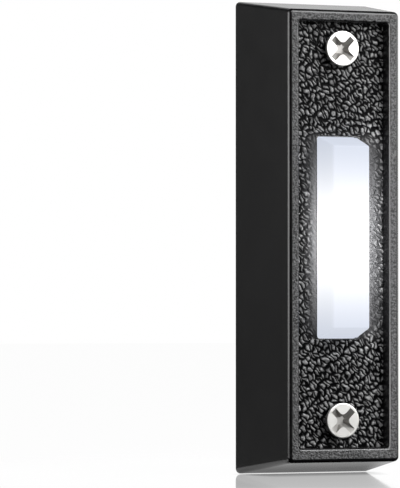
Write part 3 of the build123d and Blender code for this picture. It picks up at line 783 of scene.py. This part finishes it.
# %% [markdown]
# ## Metals
# The metal pieces differ in colour and in how their surface was made, so one function makes them all from a
# colour, a range of roughness and the size of the marks that the roughness follows. The marks that plating
# and drawing leave are finer than these, too fine to show, so they are drawn coarser.

# %% Metal finishes
def metal(name, code, smooth, rough, mark, bare=1.0):
    """A finish, this share of it bare metal, whose roughness wanders between two values over its marks."""
    material, tree, shader = finish_named(name, Base_Color=linear(code), Metallic=bare)
    place = add(tree, "ShaderNodeTexCoord").outputs["Object"]
    marks = add(tree, "ShaderNodeTexNoise", {"Vector": place, "Scale": 1 / mark, "Detail": 3.0})
    spread = add(tree, "ShaderNodeMapRange", {
        "Value": marks.outputs["Fac"], "From Min": NOISE_LOW, "From Max": NOISE_HIGH,
        "To Min": smooth, "To Max": rough,
    }).outputs[0]
    tree.links.new(spread, shader.inputs["Roughness"])
    return material


finishes = {
    # Nickel on pressed steel: pale, slightly warm, with broad soft glints
    "steel_screw": metal("nickel_plate", "#cac9c6", 0.36, 0.42, 0.8 * MM),
    # Drawn steel wire: dark grey with sharp glints along the coil
    "spring_steel": metal("spring_wire", "#8f9296", 0.22, 0.40, 0.2 * MM),
    # Rolled bronze strip: reddish gold, half polished
    "bronze": metal("phosphor_bronze", "#c08a5b", 0.24, 0.36, 0.6 * MM),
    # Pressed silver: nearly white
    "silver": metal("contact_silver", "#d6d3cb", 0.20, 0.34, 0.3 * MM),
    # Pressed brass: yellow, half polished
    "brass": metal("pressed_brass", "#c9a254", 0.22, 0.38, 0.7 * MM),
    # Zinc on steel: cold grey and a little cloudy
    "zinc_steel": metal("zinc_plate", "#a9adb1", 0.28, 0.46, 0.4 * MM),
    # The cross recess of a screw, painted duller and greyer than the head as shade in the hollow
    "recess": metal("recess_painted_shade", "#a6a4a1", 0.4, 0.5, 0.3 * MM, bare=0.4),
    # Tin on copper wire: bright grey
    "tinned_wire": metal("tinned_wire", "#b4b6ba", 0.26, 0.42, 0.3 * MM),
}
print("metals:", sorted(finishes))

# %% [markdown]
# ## Screws
# All the screws share two shapes. The head is a lofted solid with a cross recess cut into it: the recess
# narrows with depth and its four inner corners are rounded, as the punch leaves them. The thread is a
# rule: the surface stands out where a point's turn round the axis and its depth along it agree, so a Geometry
# Nodes tree rolls up a flat grid and lifts it by that rule, tapering to the tip.

# %% Rings and lofts
def circle(radius, level, x, z, steps=64):
    """Points round the axis along Y through (x, z)."""
    turns = [2 * math.pi * i / steps for i in range(steps)]
    return [Vector((x + radius * math.cos(t), level, z + radius * math.sin(t))) for t in turns]


def cross(length, width, corner, turn, steps=9):
    """Points round a cross with rounded inner corners, as (x, z) pairs."""
    half, hub, points = width / 2, width / 2 + corner, []
    for quarter in range(4):
        spin = Matrix.Rotation(turn + quarter * math.pi / 2, 2)
        wing = [(length / 2, -half), (length / 2, half)]
        for step in range(steps + 1):
            angle = math.radians(270 - 90 * step / steps)
            wing.append((hub + corner * math.cos(angle), hub + corner * math.sin(angle)))
        points += [spin @ Vector(point) for point in wing]
    return points


def loft(name, rings, material):
    """A closed solid skinned over rings of points that all have the same count."""
    work = bmesh.new()
    made = [[work.verts.new(point) for point in ring] for ring in rings]
    for one, other in zip(made, made[1:]):
        for i in range(len(one)):
            work.faces.new((one[i - 1], one[i], other[i], other[i - 1]))
    work.faces.new(made[0])
    work.faces.new(made[-1])
    bmesh.ops.recalc_face_normals(work, faces=work.faces)
    mesh = bpy.data.meshes.new(name)
    work.to_mesh(mesh)
    work.free()
    mesh.materials.append(material)
    return new_object(name, mesh)


def crease(mesh, degrees):
    """Smooth a mesh and keep the edges sharp that turn by more than this."""
    mesh.shade_smooth()
    mesh.set_sharp_from_angle(angle=math.radians(degrees))


print("a ring has", len(circle(1, 0, 0, 0)), "points, and a cross", len(cross(4, 1, 0.5, 0)))

# %% Crossed heads
# Depth of each ring of the recess, and what is left there of its length, width and corner
RECESS_STEPS = ((-0.2, 1.0, 1.0, 1.0), (0.0, 1.0, 1.0, 1.0), (0.45, 0.66, 0.86, 0.7), (1.0, 0.34, 0.62, 0.3))
# Faces from this depth to this share of the recess's depth have its finish
RECESS_TOP = 0.01 * MM
RECESS_FLOOR = 1.02


def crossed_head(name, profile, x, z, front, inward, recess, material, sharp):
    """A turned head with a cross recess. Its profile is (radius, distance from the front) pairs."""
    head = loft(name, [circle(radius, front + inward * depth, x, z) for radius, depth in profile], material)
    length, width, corner, deep, turn = recess
    cutter = loft("cutter", [
        [
            Vector((x + point.x, front + inward * depth * deep, z + point.y))
            for point in cross(length * long, width * wide, corner * round_share, turn)
        ]
        for depth, long, wide, round_share in RECESS_STEPS
    ], material)
    modifier = head.modifiers.new("recess", "BOOLEAN")
    modifier.operation, modifier.solver, modifier.object = "DIFFERENCE", "EXACT", cutter
    head.data = made_by_modifiers(head)
    head.modifiers.clear()
    bpy.data.objects.remove(cutter)
    # The faces inside the recess get this painted shade
    head.data.materials.append(finishes["recess"])
    for face in head.data.polygons:
        across = Vector((face.center.x - x, face.center.z - z)).length
        depth = inward * (face.center.y - front)
        if across < length / 2 and RECESS_TOP < depth < RECESS_FLOOR * deep:
            face.material_index = 1
    crease(head.data, sharp)
    print(name, "has", len(head.data.polygons), "faces")
    return head


# %% Thread tree: the ridge
# Half the width of the ridge at its foot and at its top, in pitches
RIDGE_FOOT, RIDGE_TOP = 0.36, 0.06
thread_tree, given, output = new_tree("screw_thread", {
    "Core": "Float", "Crest": "Float", "Pitch": "Float", "Length": "Float", "Tip": "Float", "Run In": "Float",
    "Start": "Vector", "Inward": "Float", "Columns": "Int", "Rows": "Int", "Material": "Material",
})
tree = thread_tree
grid = add(tree, "GeometryNodeMeshGrid", {
    "Size X": 1.0, "Size Y": 1.0, "Vertices X": given["Columns"], "Vertices Y": given["Rows"],
})
spot = add(tree, "GeometryNodeInputPosition").outputs[0]
share = add(tree, "ShaderNodeVectorMath", {0: spot, 1: (0.5, 0.5, 0.0)}, operation="ADD").outputs[0]
share = add(tree, "ShaderNodeSeparateXYZ", {0: share}).outputs
along = add(tree, "ShaderNodeMath", {0: share["Y"], 1: given["Length"]}, operation="MULTIPLY").outputs[0]
pitches = add(tree, "ShaderNodeMath", {0: along, 1: given["Pitch"]}, operation="DIVIDE").outputs[0]
phase = add(tree, "ShaderNodeMath", {0: pitches, 1: share["X"]}, operation="SUBTRACT").outputs[0]
wave = add(tree, "ShaderNodeMath", {0: phase}, operation="FRACT").outputs[0]
wave = add(tree, "ShaderNodeMath", {0: wave, 1: 0.5}, operation="SUBTRACT").outputs[0]
wave = add(tree, "ShaderNodeMath", {0: wave}, operation="ABSOLUTE").outputs[0]
ridge = add(tree, "ShaderNodeMapRange", {
    "Value": wave, "From Min": RIDGE_FOOT, "From Max": RIDGE_TOP,
}).outputs[0]
run_in = add(tree, "ShaderNodeMapRange", {"Value": along, "From Max": given["Run In"]}).outputs[0]
ridge = add(tree, "ShaderNodeMath", {0: ridge, 1: run_in}, operation="MULTIPLY").outputs[0]
radius = add(tree, "ShaderNodeMapRange", {
    "Value": ridge, "To Min": given["Core"], "To Max": given["Crest"],
}).outputs[0]
left = add(tree, "ShaderNodeMath", {0: given["Length"], 1: along}, operation="SUBTRACT").outputs[0]
taper = add(tree, "ShaderNodeMapRange", {"Value": left, "From Max": given["Tip"]}).outputs[0]
cap = add(tree, "ShaderNodeMath", {0: along, 1: 0.0}, operation="GREATER_THAN").outputs[0]
taper = add(tree, "ShaderNodeMath", {0: taper, 1: cap}, operation="MULTIPLY").outputs[0]
radius = add(tree, "ShaderNodeMath", {0: radius, 1: taper}, operation="MULTIPLY").outputs[0]
print("thread tree: the ridge takes", len(tree.nodes), "nodes")

# %% Thread tree: roll it up
WELD = 0.0005 * MM
THREAD_COLUMNS = 37
ROWS_PER_PITCH = 14
turn = add(tree, "ShaderNodeMath", {0: share["X"], 1: 2 * math.pi}, operation="MULTIPLY").outputs[0]
sine = add(tree, "ShaderNodeMath", {0: turn}, operation="SINE").outputs[0]
cosine = add(tree, "ShaderNodeMath", {0: turn}, operation="COSINE").outputs[0]
side = add(tree, "ShaderNodeMath", {0: sine, 1: given["Inward"]}, operation="MULTIPLY").outputs[0]
depth = add(tree, "ShaderNodeMath", {0: along, 1: given["Inward"]}, operation="MULTIPLY").outputs[0]
across = add(tree, "ShaderNodeCombineXYZ", {"X": side, "Z": cosine}).outputs[0]
across = add(tree, "ShaderNodeVectorMath", {0: across, "Scale": radius}, operation="SCALE").outputs[0]
depth = add(tree, "ShaderNodeCombineXYZ", {"Y": depth}).outputs[0]
rolled = add(tree, "ShaderNodeVectorMath", {0: across, 1: depth}, operation="ADD").outputs[0]
rolled = add(tree, "ShaderNodeVectorMath", {0: rolled, 1: given["Start"]}, operation="ADD").outputs[0]
shaped = add(tree, "GeometryNodeSetPosition", {"Geometry": grid.outputs[0], "Position": rolled})
welded = add(tree, "GeometryNodeMergeByDistance", {"Geometry": shaped.outputs[0], "Distance": WELD})
smooth = add(tree, "GeometryNodeSetShadeSmooth", {"Geometry": welded.outputs[0]})
close_tree(tree, smooth.outputs[0], given, output)


def thread(name, x, z, start, inward, length, core, crest, pitch, tip, run_in, material):
    """A right-hand thread from this level along Y, inward being its direction."""
    rows = round(ROWS_PER_PITCH * length / pitch) + 1
    return grow(name, thread_tree, {
        "Core": core, "Crest": crest, "Pitch": pitch, "Length": length, "Tip": tip, "Run In": run_in,
        "Start": (x, start, z), "Inward": inward, "Columns": THREAD_COLUMNS, "Rows": rows,
        "Material": material,
    })


# %% Wall screws
WALL_CORE, WALL_CREST, WALL_PITCH = 1.6 * MM, 2.1 * MM, 1.7 * MM
WALL_TIP, WALL_RUN_IN = 5.0 * MM, 1.5 * MM
WALL_SHARP = 14
THREAD_START = 7.2 * MM
SHANK_OVERLAP = 0.5 * MM
# Radius and depth of each ring: the softened edge, the rim, the countersunk cone and the shank
WALL_HEAD = [
    (3.73 * MM, 0.0), (3.91 * MM, 0.055 * MM), (3.95 * MM, 0.12 * MM), (3.95 * MM, 0.8 * MM),
    (WALL_CORE, 3.5 * MM), (WALL_CORE, THREAD_START + SHANK_OVERLAP),
]
# Length, width, inner corner, depth and turn
WALL_RECESS = 6.6 * MM, 1.45 * MM, 1.0 * MM, 1.9 * MM, math.radians(45)
nickel = finishes["steel_screw"]
for end in ENDS:
    node = "mounting_screw_" + end
    low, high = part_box(node)
    head = crossed_head(
        "wall_screw_head_" + end, WALL_HEAD, 0.0, screw_rows[end], low.y, 1, WALL_RECESS, nickel, WALL_SHARP
    )
    winding = thread(
        "wall_screw_thread_" + end, 0.0, screw_rows[end], low.y + THREAD_START, 1,
        high.y - low.y - THREAD_START, WALL_CORE, WALL_CREST, WALL_PITCH, WALL_TIP, WALL_RUN_IN, nickel,
    )
    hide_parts(node)
    for piece in (head, winding):
        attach(piece, "root")

# %% Small screws
# Height of the head, then crest, core, pitch and tip of the thread
BOARD_SCREW = 1.4 * MM, 1.0 * MM, 0.75 * MM, 0.8 * MM, 1.0 * MM
TERMINAL_SCREW = 2.0 * MM, 1.5 * MM, 1.25 * MM, 0.5 * MM, 0.5 * MM
SMALL_SCREWS = {
    "board_screw_top": BOARD_SCREW, "board_screw_bottom": BOARD_SCREW,
    "terminal_screw_left": TERMINAL_SCREW, "terminal_screw_right": TERMINAL_SCREW,
}
# Shares of the head's radius and height at each ring of its dome
DOME = (0.45, 0.0), (0.68, 0.06), (0.86, 0.2), (0.96, 0.4), (1.0, 0.62), (1.0, 0.94), (0.97, 1.0)
# Length, width and inner corner of the recess as shares of the head's radius, and depth as one of its height
SMALL_RECESS = 1.15, 0.26, 0.2, 0.62
SMALL_SHANK = 0.3 * MM
SMALL_RUN_IN = 0.4 * MM
SMALL_SHARP = 32
# Screws end up at any turn, so each is turned on from the one before
FIRST_TURN, NEXT_TURN = 20, 37
zinc = finishes["zinc_steel"]
for index, (node, sizes) in enumerate(SMALL_SCREWS.items()):
    low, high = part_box(node)
    middle = middle_of(node)
    tall, crest, core, pitch, tip = sizes
    wide = (high.x - low.x) / 2
    profile = [(wide * r, tall * d) for r, d in DOME] + [(core, tall), (core, tall + SMALL_SHANK)]
    turn = math.radians(FIRST_TURN + NEXT_TURN * index)
    recess = [share * size for share, size in zip(SMALL_RECESS, (wide, wide, wide, tall))] + [turn]
    head = crossed_head(
        node + "_head", profile, middle.x, middle.z, high.y, -1, recess, zinc, SMALL_SHARP
    )
    winding = thread(
        node + "_thread", middle.x, middle.z, high.y - tall, -1, high.y - low.y - tall,
        core, crest, pitch, tip, SMALL_RUN_IN, zinc,
    )
    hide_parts(node)
    for piece in (head, winding):
        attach(piece, "root")

# %% [markdown]
# ## Springs and leaf
# The solids' springs have six-sided wire. Here a Geometry Nodes tree sweeps a round wire along a spiral. The
# springs shorten and the leaf with its contact bends to the board as the button goes in; each of these pieces
# gets a mesh of its own.

# %% Spring tree
spring_tree, given, output = new_tree("coil_spring", {
    "Radius": "Float", "Wire": "Float", "Turns": "Float", "Length": "Float", "Foot": "Vector",
    "Material": "Material",
})
tree = spring_tree
rise = add(tree, "ShaderNodeMath", {0: given["Length"], 1: given["Wire"]}, operation="SUBTRACT").outputs[0]
spiral = add(tree, "GeometryNodeCurveSpiral", {
    "Resolution": 32, "Rotations": given["Turns"], "Height": rise,
    "Start Radius": given["Radius"], "End Radius": given["Radius"],
})
half_wire = add(tree, "ShaderNodeMath", {0: given["Wire"], 1: 0.5}, operation="MULTIPLY").outputs[0]
wire = add(tree, "GeometryNodeCurvePrimitiveCircle", {"Resolution": 12, "Radius": half_wire})
coil = add(tree, "GeometryNodeCurveToMesh", {
    "Curve": spiral.outputs[0], "Profile Curve": wire.outputs[0], "Fill Caps": True,
})
raised = add(tree, "ShaderNodeCombineXYZ", {"Z": half_wire}).outputs[0]
lifted = add(tree, "GeometryNodeTransform", {"Geometry": coil.outputs[0], "Translation": raised})
laid = add(tree, "GeometryNodeTransform", {
    "Geometry": lifted.outputs[0], "Rotation": (math.pi / 2, 0, 0), "Translation": given["Foot"],
})
smooth = add(tree, "GeometryNodeSetShadeSmooth", {"Geometry": laid.outputs[0]})
close_tree(tree, smooth.outputs[0], given, output)

# %% Coil springs
SPRING_WIRE = 0.45 * MM
SPRING_RADIUS = 2.195 * MM
SPRING_TURNS = 5.0
for end in ENDS:
    node = "return_spring_" + end
    low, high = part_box(node)
    foot = Vector((middle_of(node).x, high.y, middle_of(node).z))
    length = high.y - low.y
    spring = grow("coil_" + end, spring_tree, {
        "Radius": SPRING_RADIUS, "Wire": SPRING_WIRE, "Turns": SPRING_TURNS, "Length": length, "Foot": foot,
        "Material": finishes["spring_steel"],
    })
    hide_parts(node)
    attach(spring, "root")
    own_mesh(spring)

# %% Leaf and its contact
LEAF_SHARP = 30
for node, slot_name in (("leaf_contact", "bronze"), ("moving_contact", "silver")):
    work = bmesh.new()
    work.from_mesh(nodes[node].data)
    bmesh.ops.remove_doubles(work, verts=work.verts, dist=WELD)
    mesh = bpy.data.meshes.new("bending_" + node)
    work.to_mesh(mesh)
    work.free()
    mesh.materials.append(finishes[slot_name])
    crease(mesh, LEAF_SHARP)
    piece = new_object("bending_" + node, mesh)
    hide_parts(node)
    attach(piece, "root")
    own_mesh(piece)
    print(piece.name, "has", len(mesh.polygons), "faces")

# %% [markdown]
# ## Tracks and solder
# Copper tracks on the back of the board join the terminals to the leaf, the fixed contact and the lamp with
# its two series parts. They are drawn as chains of edges, and a Geometry Nodes tree rounds their corners and
# gives them width. A second tree puts a cone of solder on every lead and narrows its waist, as solder does
# where it wets the wire and the copper.

# %% Track tree
track_tree, given, output = new_tree("copper_tracks", {
    "Width": "Float", "Thickness": "Float", "Corner": "Float", "Level": "Float", "Material": "Material",
})
tree = track_tree
chains = add(tree, "GeometryNodeMeshToCurve", {"Mesh": given["Geometry"]})
bends = add(tree, "GeometryNodeFilletCurve", {
    "Curve": chains.outputs[0], "Count": 5, "Radius": given["Corner"], "Limit Radius": True,
}, mode="POLY")
upright = add(tree, "GeometryNodeSetCurveNormal", {"Curve": bends.outputs[0]}, mode="Z_UP")
strip = add(tree, "GeometryNodeCurvePrimitiveQuadrilateral", {
    "Width": given["Width"], "Height": given["Thickness"],
})
ribbon = add(tree, "GeometryNodeCurveToMesh", {
    "Curve": upright.outputs[0], "Profile Curve": strip.outputs[0], "Fill Caps": True,
})
level = add(tree, "ShaderNodeCombineXYZ", {"Y": given["Level"]}).outputs[0]
laid = add(tree, "GeometryNodeTransform", {
    "Geometry": ribbon.outputs[0], "Rotation": (math.pi / 2, 0, 0), "Translation": level,
})
close_tree(tree, laid.outputs[0], given, output)

# %% Copper tracks
# Places on the board, as X and Z in millimetres
LEAD_X, LAMP_X = 5.5, 1.27
TRACK_LIFT = 0.03 * MM
terminal_x = middle_of("terminal_screw_right").x / MM
leaf_z, fixed_z, resistor_z, diode_z = [
    middle_of(node).z / MM for node in ("leaf_rivet", "fixed_contact", "resistor", "diode")
]
routes = [
    [(-terminal_x, 0), (-terminal_x, 12), (-2, leaf_z), (0, leaf_z)],
    [(terminal_x, 0), (terminal_x, 4), (5.8, fixed_z), (0, fixed_z)],
    [(-terminal_x, 0), (-terminal_x, -6.6), (-LEAD_X, resistor_z)],
    [(LEAD_X, resistor_z), (3, -6.5), (LAMP_X, -4.7), (LAMP_X, 0)],
    [(-LAMP_X, 0), (-LAMP_X, -11.3), (-LEAD_X, diode_z)],
    [(LEAD_X, diode_z), (9.2, -12.1), (9.2, -3), (terminal_x, 0)],
]
points, edges = [], []
for route in routes:
    first = len(points)
    points += [(x * MM, z * MM, 0.0) for x, z in route]
    edges += [(i, i + 1) for i in range(first, len(points) - 1)]
chain_mesh = bpy.data.meshes.new("chains")
chain_mesh.from_pydata(points, edges, [])

# Etched copper foil under lacquer: reddish and slightly dull
board_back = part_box("contact_board")[1].y
tracks = grow("copper_tracks", track_tree, {
    "Width": 1.5 * MM, "Thickness": 0.07 * MM, "Corner": 1.2 * MM, "Level": board_back + TRACK_LIFT,
    "Material": metal("copper_track", "#c98a62", 0.30, 0.48, 0.8 * MM),
}, chain_mesh)
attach(tracks, "root")

# %% Solder tree
WAIST = 0.3
solder_tree, given, output = new_tree("solder_joints", {
    "Radius": "Float", "Peak": "Float", "Height": "Float", "Material": "Material",
})
tree = solder_tree
cone = add(tree, "GeometryNodeMeshCone", {
    "Vertices": 24, "Side Segments": 6, "Radius Top": given["Peak"], "Radius Bottom": given["Radius"],
    "Depth": given["Height"],
})
spot = add(tree, "GeometryNodeInputPosition").outputs[0]
height = add(tree, "ShaderNodeSeparateXYZ", {0: spot}).outputs["Z"]
share = add(tree, "ShaderNodeMath", {0: height, 1: given["Height"]}, operation="DIVIDE").outputs[0]
waist = add(tree, "ShaderNodeMath", {0: share, 1: math.pi}, operation="MULTIPLY").outputs[0]
waist = add(tree, "ShaderNodeMath", {0: waist}, operation="SINE").outputs[0]
waist = add(tree, "ShaderNodeMath", {0: waist, 1: -WAIST, 2: 1.0}, operation="MULTIPLY_ADD").outputs[0]
narrow = add(tree, "ShaderNodeCombineXYZ", {"X": waist, "Y": waist, "Z": 1.0}).outputs[0]
hollow = add(tree, "ShaderNodeVectorMath", {0: spot, 1: narrow}, operation="MULTIPLY").outputs[0]
shaped = add(tree, "GeometryNodeSetPosition", {"Geometry": cone.outputs[0], "Position": hollow})
spread = add(tree, "GeometryNodeInstanceOnPoints", {
    "Points": given["Geometry"], "Instance": shaped.outputs[0], "Rotation": (-math.pi / 2, 0, 0),
})
smooth = add(tree, "GeometryNodeSetShadeSmooth", {"Geometry": spread.outputs[0]})
close_tree(tree, smooth.outputs[0], given, output)

# %% Solder joints
SOLDER_SUNK = 0.02 * MM
lead_spots = [(x, z) for x in (-LEAD_X, LEAD_X) for z in (resistor_z, diode_z)]
lead_spots += [(-LAMP_X, 0), (LAMP_X, 0)]
spot_mesh = bpy.data.meshes.new("lead_spots")
spot_mesh.from_pydata([(x * MM, board_back - SOLDER_SUNK, z * MM) for x, z in lead_spots], [], [])
# Solder that froze as a drop: a bright, smooth grey
solder = grow("solder_joints", solder_tree, {
    "Radius": 1.05 * MM, "Peak": 0.42 * MM, "Height": 0.9 * MM,
    "Material": metal("solder", "#c3c6c9", 0.12, 0.24, 0.5 * MM),
}, spot_mesh)
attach(solder, "root")

# %% [markdown]
# ## Board and series parts
# The board is pressed phenolic paper: brown, with a faint run of fibres along its height. The resistor is
# lacquered and has painted rings, the diode is black epoxy with one pale ring, and the lamp is pale epoxy
# that glows. Rings could be separate pieces, but a test of how far along the body a point lies paints them
# on the solid itself.

# %% Phenolic board
FIBRE = 1.1 * MM
ALONG_FIBRE = 0.2
board, tree, shader = finish_named("phenolic_board", Roughness=0.5)
place = add(tree, "ShaderNodeTexCoord").outputs["Object"]
fibres = add(tree, "ShaderNodeVectorMath", {0: place, 1: (1.0, 1.0, ALONG_FIBRE)}, operation="MULTIPLY")
paper = add(tree, "ShaderNodeTexNoise", {"Vector": fibres.outputs[0], "Scale": 1 / FIBRE, "Detail": 5.0})
brown = add(tree, "ShaderNodeMix", {
    "Factor": paper.outputs["Fac"], "A": linear("#6d4424"), "B": linear("#9a6a3c"),
}, data_type="RGBA").outputs["Result"]
tree.links.new(brown, shader.inputs["Base Color"])
finishes["phenolic"] = board
print("board finish has", len(tree.nodes), "nodes")

# %% Ringed bodies and lamp
def ringed(name, code, rough, rings):
    """A smooth coat with painted rings, each given by its middle along X, half its width and its colour."""
    coat, tree, shader = finish_named(name, Roughness=rough)
    place = add(tree, "ShaderNodeTexCoord").outputs["Object"]
    along = add(tree, "ShaderNodeSeparateXYZ", {0: place}).outputs["X"]
    shade = linear(code)
    for middle, half, ring_code in rings:
        ring = add(tree, "ShaderNodeMath", {0: along, 1: middle, 2: half}, operation="COMPARE").outputs[0]
        shade = add(tree, "ShaderNodeMix", {
            "Factor": ring, "A": shade, "B": linear(ring_code),
        }, data_type="RGBA").outputs["Result"]
    tree.links.new(shade, shader.inputs["Base Color"])
    return coat


RESISTOR_RINGS = (-2.2, "#6b3f1d"), (-1.1, "#161616"), (0.0, "#a3271f"), (2.1, "#b08a36")
finishes["resistor_coat"] = ringed(
    "banded_lacquer", "#c7a878", 0.32, [(middle * MM, 0.3 * MM, code) for middle, code in RESISTOR_RINGS]
)
finishes["diode_black"] = ringed("diode_epoxy", "#1b1b1c", 0.4, [(1.7 * MM, 0.4 * MM, "#c9cac8")])
finishes["led_epoxy"] = finish_named(
    "lamp_epoxy", Base_Color=linear("#f2f3ee"), Roughness=0.15, IOR=1.5, Emission_Strength=4.0,
    Emission_Color=linear("#f4f6ff"),
)[0]
print("resistor rings:", len(RESISTOR_RINGS))

# %% Finishes on the solids
refinished = 0
for node in frame["record"]["subparts"]:
    finish = finishes.get(node["material_slot"])
    if finish:
        nodes[node["node"]].material_slots[0].material = finish
        refinished += 1
print("solids with a new finish:", refinished)
